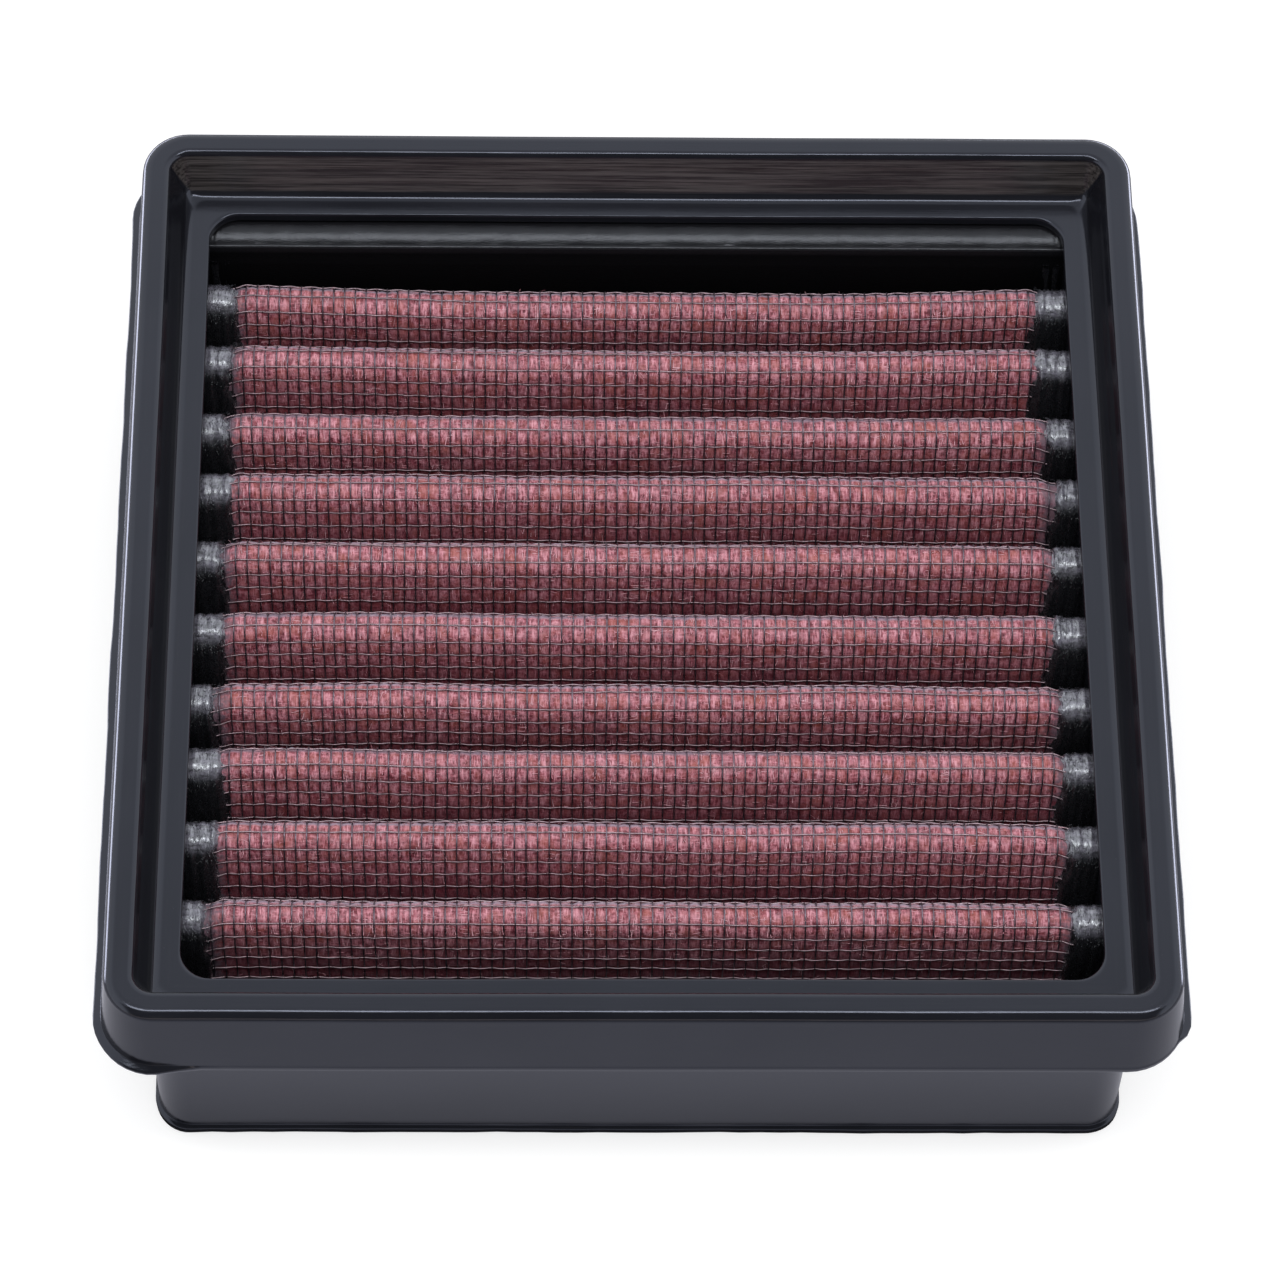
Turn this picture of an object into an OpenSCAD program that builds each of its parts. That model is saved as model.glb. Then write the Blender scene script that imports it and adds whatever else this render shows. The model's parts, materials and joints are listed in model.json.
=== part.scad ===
// Panel air filter for a motorcycle airbox.
// A moulded rubber frame holds a pleated pack of oiled cotton gauze between two woven wire screens.
// Millimetres, +Z up. The origin is the centre of the skirt's bottom face; the airbox lid presses on
// the top of the rim.

/* [Frame] */
// Outer width and depth of the rim, measured at its top
rim_size = 128; // [120:1:136]
// Corner radius of the rim's outer edge
rim_corner_r = 5.9; // [5.5:0.1:8]
// Width of the rim's flat top, from outer edge to inner edge
rim_w = 3.3; // [2.5:0.1:3.5]
// Rounding of the rim's outer top edge
rim_edge_r = 1.3; // [0.5:0.1:1.5]
// Height of the whole filter
total_h = 40.5; // [38:0.5:50]
// Height of the collar, from the flange's underside to the rim's top
collar_h = 12.1; // [10:0.1:14]
// How much wider the collar gets on each side, from its top to its foot
collar_draft = 1.1; // [0.3:0.1:1.5]
// How far the thin seating flange stands out past the rim on each side
flange_out = 2.1; // [1.6:0.1:3]
// Thickness of the seating flange
flange_t = 1.1; // [0.8:0.1:2]

/* [Well and opening] */
// Depth of the well inside the rim, down to the ledge
well_d = 6.6; // [5:0.1:8]
// How far the well's sloping wall leans in on each side
well_lean = 2.1; // [1:0.1:2.4]
// Width of the ledge around the opening
ledge_w = 3.1; // [2.8:0.1:3.5]
// Thickness of the ledge at the opening
ledge_t = 1.4; // [1:0.1:2]
// Corner radius of the opening
opening_r = 3.8; // [2:0.1:6]

/* [Skirt] */
// Step in from the rim's outer edge to the skirt's outer wall
skirt_step = 4.2; // [3.8:0.1:4.6]
// Corner radius of the skirt's outer wall
skirt_corner_r = 4.2; // [3.8:0.1:5]
// Wall thickness of the skirt below the pack
skirt_t = 2.8; // [2.5:0.1:3.2]
// How far the lip around the skirt's foot stands out
lip_out = 0.4; // [0.2:0.1:0.8]
// Height of the lip around the skirt's foot
lip_h = 1.7; // [1.4:0.1:2.5]

/* [Pleated pack] */
// Number of pleats
pleat_count = 10; // [6:1:11]
// Height of the pleated pack
pleat_h = 18; // [14:0.5:19]
// Bend radius of every fold, at the middle of the pack's thickness
fold_r = 1.4; // [1.4:0.05:1.6]
// Depth of the pleat crests below the ledge
crest_drop = 2.4; // [2:0.1:3]
// Distance from the cavity wall to the line where a next pleat crest would be
edge_gap = 1.8; // [1:0.1:2.5]
// Height of the short leg that ends the pack at the front, above the pack's underside
front_leg_h = 7.5; // [6:0.5:10]
// Thickness of each woven wire screen
screen_t = 0.44; // [0.3:0.02:0.48]
// Thickness of each ply of cotton gauze
ply_t = 0.27; // [0.2:0.01:0.28]

/* [Seals] */
// Width of the black seal along the ends of the pleats that the opening shows
end_band_w = 3.6; // [2.5:0.1:5]
// Thickness of the seal's skin over the pack
skin_t = 0.25; // [0.15:0.05:0.3]
// Thickness of the seal behind the cut ends of the pack
end_cap_t = 0.8; // [0.5:0.1:1.5]
// Radius of the bead that closes the pack's front and rear edges
bead_r = 1.9; // [1.7:0.1:2]

/* [Hidden] */

round_fn = 96;      // facets on the round corners of a preview
edge_steps = 5;     // straight steps along a small rounded edge
fold_steps = 8;     // straight steps along a fold
cut_extra = 1;      // how far a cutting shape runs past the face it cuts
ply_count = 4;      // plies of gauze between the screens
layer_gap = 0.01;   // clearance between two layers

rim_half = rim_size / 2;
flange_z = total_h - collar_h;
ledge_z = total_h - well_d;
opening_half = rim_half - rim_w - well_lean - ledge_w;
skirt_half = rim_half - skirt_step;
bore_half = skirt_half - skirt_t;
cavity_half = opening_half + 0.5;
lower_opening_half = opening_half - 0.4;
flange_corner_r = rim_corner_r + flange_out;

pack_t = 2 * screen_t + ply_count * ply_t + (ply_count + 1) * layer_gap;
pack_top = ledge_z - crest_drop;
pack_bottom = pack_top - pleat_h;
crest_z = pack_top - pack_t / 2 - fold_r;
valley_z = pack_bottom + pack_t / 2 + fold_r;
cavity_top = ledge_z - ledge_t;
cavity_bottom = pack_bottom - skin_t;
rib_t = 1.5;

pitch = 2 * (cavity_half - edge_gap) / (pleat_count + 1);
fold_count = 2 * pleat_count + 1;
// Lean of a pleat's flank from vertical: the line that touches a crest circle and a valley circle
fold_distance = norm([pitch / 2, crest_z - valley_z]);
flank_lean = atan2(pitch / 2, crest_z - valley_z) - asin(2 * fold_r / fold_distance);
rear_leg_top = cavity_top - bead_r - 0.1;
front_leg_top = pack_bottom + front_leg_h;

pack_half = cavity_half - end_cap_t;
band_start = opening_half - end_band_w;

// Points along a circular arc
function arc(centre, r, from, to, steps) = [
    for (i = [0 : steps])
        let (a = from + (to - from) * i / steps)
        centre + r * [cos(a), sin(a)]
];

function reverse(points) = [for (i = [len(points) - 1 : -1 : 0]) points[i]];

// Centre of a fold, in the plane across the pleats; even folds are valleys and odd ones crests.
// Fold 0 is the rearmost valley.
function fold_centre(i) = [(pleat_count - i) * pitch / 2, i % 2 == 0 ? valley_z : crest_z];

// One fold of the surface that lies d above the middle of the pack
function fold(i, d) = i % 2 == 0
    ? arc(fold_centre(i), fold_r - d, -flank_lean, flank_lean - 180, fold_steps)
    : arc(fold_centre(i), fold_r + d, flank_lean, 180 - flank_lean, fold_steps);

// Top end of the leg that climbs towards the rear wall (side 1) or the front wall (side -1)
function leg_end(side, d) = let (
    foot = fold_centre(side > 0 ? 0 : fold_count - 1)
        + (fold_r - d) * [side * cos(flank_lean), -sin(flank_lean)],
    rise = (leg_top(side) - foot.y) / cos(flank_lean)
) foot + rise * [side * sin(flank_lean), cos(flank_lean)];

function leg_top(side) = side > 0 ? rear_leg_top : front_leg_top;

// The whole folded line, from the rear wall to the front wall
function pleat_line(d) = concat(
    [leg_end(1, d)],
    [for (i = [0 : fold_count - 1]) each fold(i, d)],
    [leg_end(-1, d)]
);

// Outline of a layer between two heights above the middle of the pack
function layer_outline(low, high) = concat(pleat_line(high), reverse(pleat_line(low)));

// Outline of the rubber that fills the wedge between a leg of the pack and the wall behind it;
// positive is towards that wall
function wedge_outline(side) = let (
    skin = pack_t / 2 + skin_t,
    leg = leg_end(side, skin),
    valley = fold_centre(0)
) concat(
    [[cavity_half, cavity_bottom], [cavity_half, leg_top(side)], [side * leg.x, leg.y]],
    fold(0, skin),
    arc(valley, fold_r + skin, flank_lean - 180, -90, fold_steps)
);

// Rounded square with true round corners
module rounded_square(half, r) {
    inner = half - r;
    square([2 * half, 2 * inner], center = true);
    square([2 * inner, 2 * half], center = true);
    for (x = [-inner, inner], y = [-inner, inner])
        translate([x, y]) circle(r, $fn = round_fn);
}

module rounded_block(half, r, low, high) {
    translate([0, 0, low]) linear_extrude(high - low) rounded_square(half, r);
}

// Carries a section around a rounded square; the section's x starts at the corner's centre
module around_rounded_square(half, r) {
    inner = half - r;
    for (turn = [0 : 90 : 270])
        rotate(turn) {
            translate([inner, 0, 0])
                rotate([90, 0, 0])
                    linear_extrude(2 * inner, center = true) children();
            translate([inner, inner, 0])
                rotate_extrude(angle = 90, $fn = round_fn) children();
        }
}

// Half of the collar's cut face: sloping outer wall, rounded rim and the well's leaning wall
module collar_section() {
    top_arc = arc([rim_corner_r - rim_edge_r, total_h - rim_edge_r], rim_edge_r, 0, 90, edge_steps);
    well_top = rim_corner_r - rim_w;
    polygon(concat(
        [[0, flange_z], [rim_corner_r + collar_draft, flange_z]],
        top_arc,
        [[well_top, total_h], [well_top - well_lean, ledge_z], [0, ledge_z]]
    ));
}

// Cut face of the lip around the skirt's foot
module lip_section() {
    chamfer = 0.4;
    lip_r = skirt_corner_r + lip_out;
    polygon([
        [skirt_corner_r - 1, 0],
        [lip_r - chamfer, 0],
        [lip_r, chamfer],
        [lip_r, lip_h - chamfer],
        [skirt_corner_r, lip_h],
        [skirt_corner_r - 1, lip_h],
    ]);
}

module frame() {
    color([0.2, 0.2, 0.22])
        difference() {
            union() {
                around_rounded_square(rim_half, rim_corner_r) collar_section();
                rounded_block(rim_half + flange_out, flange_corner_r, flange_z, flange_z + flange_t);
                rounded_block(skirt_half, skirt_corner_r, 0, ledge_z);
                around_rounded_square(skirt_half, skirt_corner_r) lip_section();
            }
            rounded_block(opening_half, opening_r, cavity_top - cut_extra, total_h);
            translate([-cavity_half, -cavity_half, cavity_bottom])
                cube([2 * cavity_half, 2 * cavity_half, cavity_top - cavity_bottom]);
            rounded_block(lower_opening_half, opening_r, 0, cavity_bottom + cut_extra);
            rounded_block(bore_half, skirt_corner_r - skirt_t, -cut_extra, cavity_bottom - rib_t);
        }
}

// Solid with the given outline across the pleats, from one x to another
module along_pleats(outline, from, to) {
    translate([from, 0, 0])
        rotate([90, 0, 90])
            linear_extrude(to - from) polygon(outline);
}

// One layer of the pack; level is the height of its top face below the pack's top face
module pack_layer(level, thickness) {
    high = pack_t / 2 - level;
    along_pleats(layer_outline(high - thickness, high), -pack_half, pack_half);
}

module gauze_ply(number) {
    level = screen_t + layer_gap + (number - 1) * (ply_t + layer_gap);
    color([0.55, 0.24, 0.27]) pack_layer(level, ply_t);
}

module upper_screen() {
    color([0.35, 0.35, 0.38]) pack_layer(0, screen_t);
}

module lower_screen() {
    color([0.35, 0.35, 0.38]) pack_layer(pack_t - screen_t, screen_t);
}

module gauze_ply_1() gauze_ply(1);
module gauze_ply_2() gauze_ply(2);
module gauze_ply_3() gauze_ply(3);
module gauze_ply_4() gauze_ply(4);

// Space that the pack takes up inside a seal
module pack_slot(from, to) {
    along_pleats(layer_outline(-pack_t / 2, pack_t / 2), from, to);
}

// Turns a shape made for the rear wall (side 1) to face the front wall (side -1)
module facing(side) {
    if (side > 0) children();
    else mirror([0, 1, 0]) children();
}

// Wedge and closing bead along the rear edge (side 1) or the front edge (side -1) of the pack
module edge_wedge(side, from, to) {
    leg = leg_end(side, 0);
    bead_y = side * leg.x;
    facing(side) {
        along_pleats(wedge_outline(side), from, to);
        translate([from, bead_y, leg.y])
            rotate([0, 90, 0]) cylinder(h = to - from, r = bead_r, $fn = round_fn);
        // Web that joins the bead to the wall
        translate([from, bead_y, leg.y - bead_r / 2])
            cube([to - from, cavity_half - bead_y, 1.5 * bead_r]);
    }
}

module edge_seal(side) {
    color([0.06, 0.06, 0.065])
        difference() {
            edge_wedge(side, -band_start, band_start);
            pack_slot(-band_start - cut_extra, band_start + cut_extra);
        }
}

module rear_edge_seal() edge_seal(1);
module front_edge_seal() edge_seal(-1);

// Rubber comb that wraps the cut ends of the pleats and joins them to the frame's side wall
module right_end_seal() {
    skin = pack_t / 2 + skin_t;
    color([0.06, 0.06, 0.065])
        difference() {
            union() {
                along_pleats(layer_outline(-skin, skin), band_start, cavity_half);
                edge_wedge(1, band_start, cavity_half);
                edge_wedge(-1, band_start, cavity_half);
            }
            pack_slot(band_start - cut_extra, pack_half);
        }
}

module left_end_seal() {
    mirror([1, 0, 0]) right_end_seal();
}

frame();
upper_screen();
gauze_ply_1();
gauze_ply_2();
gauze_ply_3();
gauze_ply_4();
lower_screen();
left_end_seal();
right_end_seal();
front_edge_seal();
rear_edge_seal();
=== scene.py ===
"""Visual model of a pleated panel air filter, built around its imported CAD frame.

Lengths are in millimetres until a mesh is made, and +Z is up, as in the CAD. The pleats run
along X, and the pack is folded along Y, from the rear (+Y) to the front (-Y).
"""
import json
import math

import bpy
import numpy as np
from mathutils import Matrix, Vector


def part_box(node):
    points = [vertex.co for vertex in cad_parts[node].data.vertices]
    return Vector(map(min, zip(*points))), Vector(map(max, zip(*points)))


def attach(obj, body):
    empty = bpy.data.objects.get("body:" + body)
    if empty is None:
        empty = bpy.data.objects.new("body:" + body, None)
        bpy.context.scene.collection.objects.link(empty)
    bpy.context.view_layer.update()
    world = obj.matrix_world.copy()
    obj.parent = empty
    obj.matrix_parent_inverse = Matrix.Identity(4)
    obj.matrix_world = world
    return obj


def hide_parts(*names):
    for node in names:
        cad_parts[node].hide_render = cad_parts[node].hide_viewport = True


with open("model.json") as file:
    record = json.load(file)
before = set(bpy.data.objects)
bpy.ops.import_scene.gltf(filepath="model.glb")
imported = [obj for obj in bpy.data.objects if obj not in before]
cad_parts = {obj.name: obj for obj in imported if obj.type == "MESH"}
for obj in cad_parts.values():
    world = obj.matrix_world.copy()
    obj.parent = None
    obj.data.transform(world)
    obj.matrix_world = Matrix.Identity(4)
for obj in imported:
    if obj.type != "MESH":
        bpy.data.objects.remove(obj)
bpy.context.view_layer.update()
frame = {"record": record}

MM = 0.001
INCH = 25.4

# ---------------------------------------------------------------- sizes as in part.scad

RIM_CORNER_R = 5.9
RIM_W = 3.3
COLLAR_DRAFT = 1.1
FLANGE_OUT = 2.1
FLANGE_T = 1.1
WELL_LEAN = 2.1
LEDGE_T = 1.4
OPENING_R = 3.8
SKIRT_STEP = 4.2
SKIRT_CORNER_R = 4.2
SKIRT_T = 2.8
RIB_T = 1.5
CREST_DROP = 2.4
BEAD_R = 1.9
# How far the ledge above the cavity, and the rib below it, reach in past the cavity's wall
LEDGE_REACH = 0.5
RIB_REACH = 0.9

PLEATS = 10
EDGE_GAP = 1.8
FOLD_R = 1.4
SCREEN_T = 0.44
PLY_T = 0.27
PLIES = 4
LAYER_GAP = 0.01
SKIN_T = 0.25
PACK_T = 2 * SCREEN_T + PLIES * PLY_T + (PLIES + 1) * LAYER_GAP
LAST_FOLD = 2 * PLEATS


# ---------------------------------------------------------------- sizes read from the frame

def box_mm(node):
    low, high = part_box(node)
    return np.array(low) / MM, np.array(high) / MM


mount_z = {mount["name"]: mount["pos_m"][2] / MM for mount in frame["record"]["mounts"]}
top_z = mount_z["rim_top"]
flange_z = mount_z["flange_seat"]
foot_z = mount_z["skirt_foot"]

flange_half = box_mm("frame")[1][0]
cavity_half = box_mm("right_end_seal")[1][0]
band_start = box_mm("right_end_seal")[0][0]
cavity_floor = box_mm("right_end_seal")[0][2]
pack_half = box_mm("upper_screen")[1][0]
pack_top = box_mm("upper_screen")[1][2]
pack_bottom = box_mm("lower_screen")[0][2]
rear_leg_top = box_mm("rear_edge_seal")[1][2] - BEAD_R
front_leg_top = box_mm("front_edge_seal")[1][2] - BEAD_R

rim_half = flange_half - FLANGE_OUT
collar_foot_half = rim_half + COLLAR_DRAFT
skirt_half = rim_half - SKIRT_STEP
well_foot_half = rim_half - RIM_W - WELL_LEAN
opening_half = cavity_half - LEDGE_REACH
lower_opening_half = cavity_half - RIB_REACH
ledge_z = pack_top + CREST_DROP
cavity_top = ledge_z - LEDGE_T

pitch = 2 * (cavity_half - EDGE_GAP) / (PLEATS + 1)
crest_z = pack_top - PACK_T / 2 - FOLD_R
valley_z = pack_bottom + PACK_T / 2 + FOLD_R
fold_distance = math.hypot(pitch / 2, crest_z - valley_z)
flank_length = math.sqrt(fold_distance ** 2 - (2 * FOLD_R) ** 2)
flank_lean = math.atan2(pitch / 2, crest_z - valley_z) - math.asin(2 * FOLD_R / fold_distance)

# ---------------------------------------------------------------- sizes that only the looks need

# The warp wires run down the pleats, and the weft wires along them
WARP_PITCH = INCH / 18
WEFT_PITCH = INCH / 11
WIRE_RADIUS = 0.11
WIRE_WANDER = 0.07
WEFT_CRIMP = 0.6

# How far each crest leans to the rear, from the rear crest to the front one
CREST_DRIFT = (0.75, 1.15, 0.5, 1.15, 1.0, 0.37, 0.0, 0.65, 0.27, -0.8)
# How far the middle of the rear crest bows to the front, and the right ends lie to the front
CREST_BOW = 1.1
CREST_SKEW = 0.15
# How far the crests sink, and lean to the front, where the end seals grip them
END_SINK = 0.45
# How far each crest waves along its length
CREST_WAVE = 0.05


# ---------------------------------------------------------------- small tools

def smoothstep(value):
    value = np.clip(value, 0, 1)
    return value * value * (3 - 2 * value)


class Waves:
    """Smooth repeatable noise: a sum of sines with seeded directions, wavelengths and phases."""

    def __init__(self, seed, shortest, longest, count=7, dimensions=1):
        rng = np.random.default_rng(seed)
        lengths = np.exp(rng.uniform(math.log(shortest), math.log(longest), count))
        directions = rng.normal(size=(count, dimensions))
        directions /= np.linalg.norm(directions, axis=1, keepdims=True)
        self.waves = directions * (2 * math.pi / lengths)[:, None]
        self.phases = rng.uniform(0, 2 * math.pi, count)
        self.scale = 1 / math.sqrt(count / 2)

    def __call__(self, *coordinates):
        total = 0
        for wave, phase in zip(self.waves, self.phases):
            angle = phase
            for factor, coordinate in zip(wave, coordinates):
                angle = angle + factor * coordinate
            total = total + np.sin(angle)
        return total * self.scale


def grid_quads(rows, columns, wrap_rows=False, wrap_columns=False):
    """Quads over a rows by columns grid of vertex numbers."""
    index = np.arange(rows * columns).reshape(rows, columns)
    if wrap_rows:
        index = np.vstack([index, index[:1]])
    if wrap_columns:
        index = np.hstack([index, index[:, :1]])
    corners = (index[:-1, :-1], index[:-1, 1:], index[1:, 1:], index[1:, :-1])
    return np.stack([corner.ravel() for corner in corners], axis=1)


def tube_wall(rows, columns):
    """Faces of a closed form made of rows of closed rings, with both ends capped."""
    faces = grid_quads(rows, columns, wrap_columns=True).tolist()
    faces.append(list(range(columns)))
    faces.append(list(range(rows * columns - 1, (rows - 1) * columns - 1, -1)))
    return faces


def make_normals_outward(mesh):
    """Flips the faces of a closed mesh whose signed volume is negative."""
    corners = np.empty(len(mesh.vertices) * 3)
    mesh.vertices.foreach_get("co", corners)
    corners = corners.reshape(-1, 3)
    mesh.calc_loop_triangles()
    triangles = np.empty(len(mesh.loop_triangles) * 3, dtype=np.int64)
    mesh.loop_triangles.foreach_get("vertices", triangles)
    a, b, c = corners[triangles.reshape(-1, 3)].transpose(1, 0, 2)
    if np.einsum("ij,ij->i", a, np.cross(b, c)).sum() < 0:
        mesh.flip_normals()


def add_piece(name, points, faces, material, replaces=(), puff=None):
    """Makes a smooth-shaded piece from points in millimetres, riding on the filter's one body.

    puff is an optional value from 0 to 1 for each point, which its material can read.
    """
    mesh = bpy.data.meshes.new(name)
    mesh.from_pydata((np.asarray(points).reshape(-1, 3) * MM).tolist(), [], list(faces))
    mesh.polygons.foreach_set("use_smooth", [True] * len(mesh.polygons))
    mesh.materials.append(material)
    if puff is not None:
        values = np.ascontiguousarray(puff, dtype=np.float32).ravel()
        mesh.attributes.new("puff", "FLOAT", "POINT").data.foreach_set("value", values)
    mesh.update()
    piece = bpy.data.objects.new(name, mesh)
    bpy.context.scene.collection.objects.link(piece)
    make_normals_outward(mesh)
    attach(piece, "root")
    if replaces:
        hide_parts(*replaces)


# ---------------------------------------------------------------- the folded surface

# Fold numbers at the free ends of the pack's rear and front legs
PACK_START = -0.45
PACK_END = LAST_FOLD + 0.9


def round_folds(number, turn, height):
    """Point (y, z), normal, and sign (1 for a crest), at a share of the turn round each fold."""
    is_crest = number % 2 == 1
    sign = np.where(is_crest, 1, -1)
    valley_angle = -flank_lean - (math.pi - 2 * flank_lean) * turn
    crest_angle = flank_lean + (math.pi - 2 * flank_lean) * turn
    angle = np.where(is_crest, crest_angle, valley_angle)
    radius = FOLD_R + sign * height
    y = (PLEATS - number) * pitch / 2 + radius * np.cos(angle)
    z = np.where(is_crest, crest_z, valley_z) + radius * np.sin(angle)
    return y, z, sign * np.cos(angle), sign * np.sin(angle), sign


def folded(fold, height):
    """Point (y, z) and upward normal on the folded surface, height above the pack's middle.

    Fold numbers run from the rear: even ones are valleys, odd ones crests. From n to n + 0.5
    the surface goes round fold n, and from n + 0.5 to n + 1 along the flank after it. From 0
    back to -0.5 it climbs the rear leg, and from LAST_FOLD + 0.5 the short front leg.
    """
    fold, height = np.broadcast_arrays(np.asarray(fold, float), np.asarray(height, float))
    number = np.clip(np.floor(fold), 0, LAST_FOLD)
    part = fold - number
    y, z, normal_y, normal_z, sign = round_folds(number, np.clip(part * 2, 0, 1), height)

    leg_top = np.where(number == LAST_FOLD, front_leg_top, rear_leg_top)
    leg_length = (leg_top - z) / math.cos(flank_lean)
    at_front = (number == LAST_FOLD) & (part > 0.5)
    length = np.where(at_front, leg_length, flank_length)
    along = np.where(part > 0.5, (part - 0.5) * 2 * length, 0)
    behind = np.where(part < 0, -part * 2 * leg_length, 0)
    y = y + (behind - along) * math.sin(flank_lean)
    z = z + (behind - sign * along) * math.cos(flank_lean)
    return y, z, normal_y, normal_z


def surface_normals(fold):
    _, _, normal_y, normal_z = folded(fold, 0)
    return np.stack([np.zeros_like(normal_y), normal_y, normal_z], axis=-1)


crest_waves = [Waves(40 + number, 25, 90) for number in range(PLEATS)]


def crest_shift(x, number):
    """How far the crest of one pleat stands out of line at x: towards the rear, and up."""
    to_rear = max(1 - 2 * number / (PLEATS - 1), 0)
    bow = -CREST_BOW * to_rear ** 3 * (1 - (x / cavity_half) ** 2) - CREST_SKEW * x / cavity_half
    sink = END_SINK * smoothstep((np.abs(x) - band_start + 1.5) / 3)
    wave = crest_waves[number]
    drift = CREST_DRIFT[number] + bow + CREST_WAVE * wave(x)
    return drift - sink, CREST_WAVE * wave(x + 500) - sink


def place(x, fold, height):
    """Points of the folded surface with its crests out of line, as an array (..., 3).

    A pleat runs from the middle of one valley, which is at its fold number + 0.25, to the next.
    """
    x, fold, height = np.broadcast_arrays(x, fold, height)
    y, z, _, _ = folded(fold, height)
    middle_z = folded(fold, 0)[1]
    lift = smoothstep((middle_z - valley_z) / (crest_z - valley_z))
    lift = np.where((fold < 0.25) | (fold > LAST_FOLD + 0.25), 0, lift)
    pleat = np.clip(np.floor((fold - 0.25) / 2), 0, PLEATS - 1).astype(int)
    shift_y = np.zeros(x.shape)
    shift_z = np.zeros(x.shape)
    for number in range(PLEATS):
        here = pleat == number
        shift_y[here], shift_z[here] = crest_shift(x[here], number)
    return np.stack([x, y + lift * shift_y, z + lift * shift_z], axis=-1)


class Track:
    """Turns a length along the folded surface, at one height, into a fold number, and back."""

    def __init__(self, height):
        self.folds = np.linspace(PACK_START, PACK_END, 12001)
        y, z, _, _ = folded(self.folds, height)
        steps = np.hypot(np.diff(y), np.diff(z))
        self.lengths = np.concatenate([[0], np.cumsum(steps)])
        self.length = self.lengths[-1]

    def fold(self, length):
        return np.interp(length, self.lengths, self.folds)

    def at(self, fold):
        return np.interp(fold, self.folds, self.lengths)


# ---------------------------------------------------------------- node tools

# The colour sockets of a Mix node share their names with its other sockets, so they go by number
MIX_FACTOR, MIX_FIRST, MIX_SECOND, MIX_RESULT = 0, 6, 7, 2


class Nodes:
    """Builds the node tree of a material or a world with short calls."""

    def __init__(self, owner):
        owner.use_nodes = True
        self.owner = owner
        self.tree = owner.node_tree

    def add(self, kind, inputs=None, **settings):
        node = self.tree.nodes.new(kind)
        for key, value in settings.items():
            setattr(node, key, value)
        for key, value in (inputs or {}).items():
            self.give(node.inputs[key], value)
        return node

    def give(self, socket, value):
        """Links a node's output to a socket, or sets the socket to a plain value or (r, g, b)."""
        if isinstance(value, bpy.types.NodeSocket):
            self.tree.links.new(value, socket)
        elif socket.type == "RGBA":
            socket.default_value = (*value, 1)
        else:
            socket.default_value = value

    def set(self, name, **values):
        """Sets inputs of a node that is there already; an underscore stands for a space."""
        for key, value in values.items():
            self.give(self.tree.nodes[name].inputs[key.replace("_", " ")], value)

    def shade(self, **values):
        self.set("Principled BSDF", **values)

    def geometry(self, output):
        return self.add("ShaderNodeNewGeometry").outputs[output]

    def math(self, operation, first, second=0.0):
        return self.add("ShaderNodeMath", {0: first, 1: second}, operation=operation).outputs[0]

    def product(self, first, *others):
        for other in others:
            first = self.math("MULTIPLY", first, other)
        return first

    def split(self, vector):
        return self.add("ShaderNodeSeparateXYZ", {0: vector}).outputs

    def noise(self, vector, per_mm, detail=3.0, roughness=0.5):
        """Noise with the given number of features per millimetre."""
        inputs = {"Vector": vector, "Scale": per_mm / MM, "Detail": detail, "Roughness": roughness}
        return self.add("ShaderNodeTexNoise", inputs).outputs["Fac"]

    def scaled(self, vector, scale):
        return self.add("ShaderNodeVectorMath", {0: vector, 1: scale}, operation="MULTIPLY").outputs[0]

    def remap(self, value, low, high, to_low=0.0, to_high=1.0):
        """Carries the range from low to high over to another range, and stays inside that one."""
        inputs = {"Value": value, "From Min": low, "From Max": high, "To Min": to_low, "To Max": to_high}
        return self.add("ShaderNodeMapRange", inputs).outputs[0]

    def remap_mm(self, length, low, high, to_low=0.0, to_high=1.0):
        """Remaps a length, with low and high in millimetres."""
        return self.remap(length, low * MM, high * MM, to_low, to_high)

    def mix(self, factor, first, second):
        """Blends two colours."""
        inputs = {MIX_FACTOR: factor, MIX_FIRST: first, MIX_SECOND: second}
        return self.add("ShaderNodeMix", inputs, data_type="RGBA").outputs[MIX_RESULT]

    def bump(self, height, strength, distance_mm, normal=None):
        inputs = {"Height": height, "Strength": strength, "Distance": distance_mm * MM}
        if normal is not None:
            inputs["Normal"] = normal
        return self.add("ShaderNodeBump", inputs).outputs["Normal"]


def new_material(name):
    return Nodes(bpy.data.materials.new(name))


# ---------------------------------------------------------------- materials

def well_mask(nodes, outward, sideways, height):
    """1 on the walls of the frame's well that stand across the outward coordinate."""
    well_top_half = rim_half - RIM_W
    return nodes.product(
        nodes.remap_mm(outward, well_foot_half + 0.1, well_foot_half + 0.3),
        nodes.remap_mm(outward, well_top_half + 0.4, well_top_half + 0.2),
        nodes.remap_mm(sideways, well_top_half + 0.4, well_top_half + 0.2),
        nodes.remap_mm(height, top_z - 0.5, top_z - 0.9),
        nodes.remap_mm(height, ledge_z + 0.3, ledge_z + 0.7),
    )


def drag_space(nodes, across_x, across_y, height):
    """Position for marks drawn out along the frame's sides: outward, up, and barely along."""
    along = nodes.math("MINIMUM", across_x, across_y)
    return nodes.add("ShaderNodeCombineXYZ", {
        0: nodes.math("MAXIMUM", across_x, across_y),
        1: height,
        2: nodes.math("MULTIPLY", along, 0.02),
    }).outputs[0]


def lit_streaked_rubber(nodes, position):
    """Colour of rubber with pale streaks along X: painted light that makes the well's rear wall lighter
    than its side walls.
    """
    streak_noise = nodes.noise(nodes.scaled(position, (0.02, 1.0, 1.0)), 2.6, 4.0, 0.75)
    plain_rubber, painted_light = (0.017, 0.015, 0.015), (0.062, 0.055, 0.054)
    return nodes.mix(nodes.remap(streak_noise, 0.42, 0.62), plain_rubber, painted_light)


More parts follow.
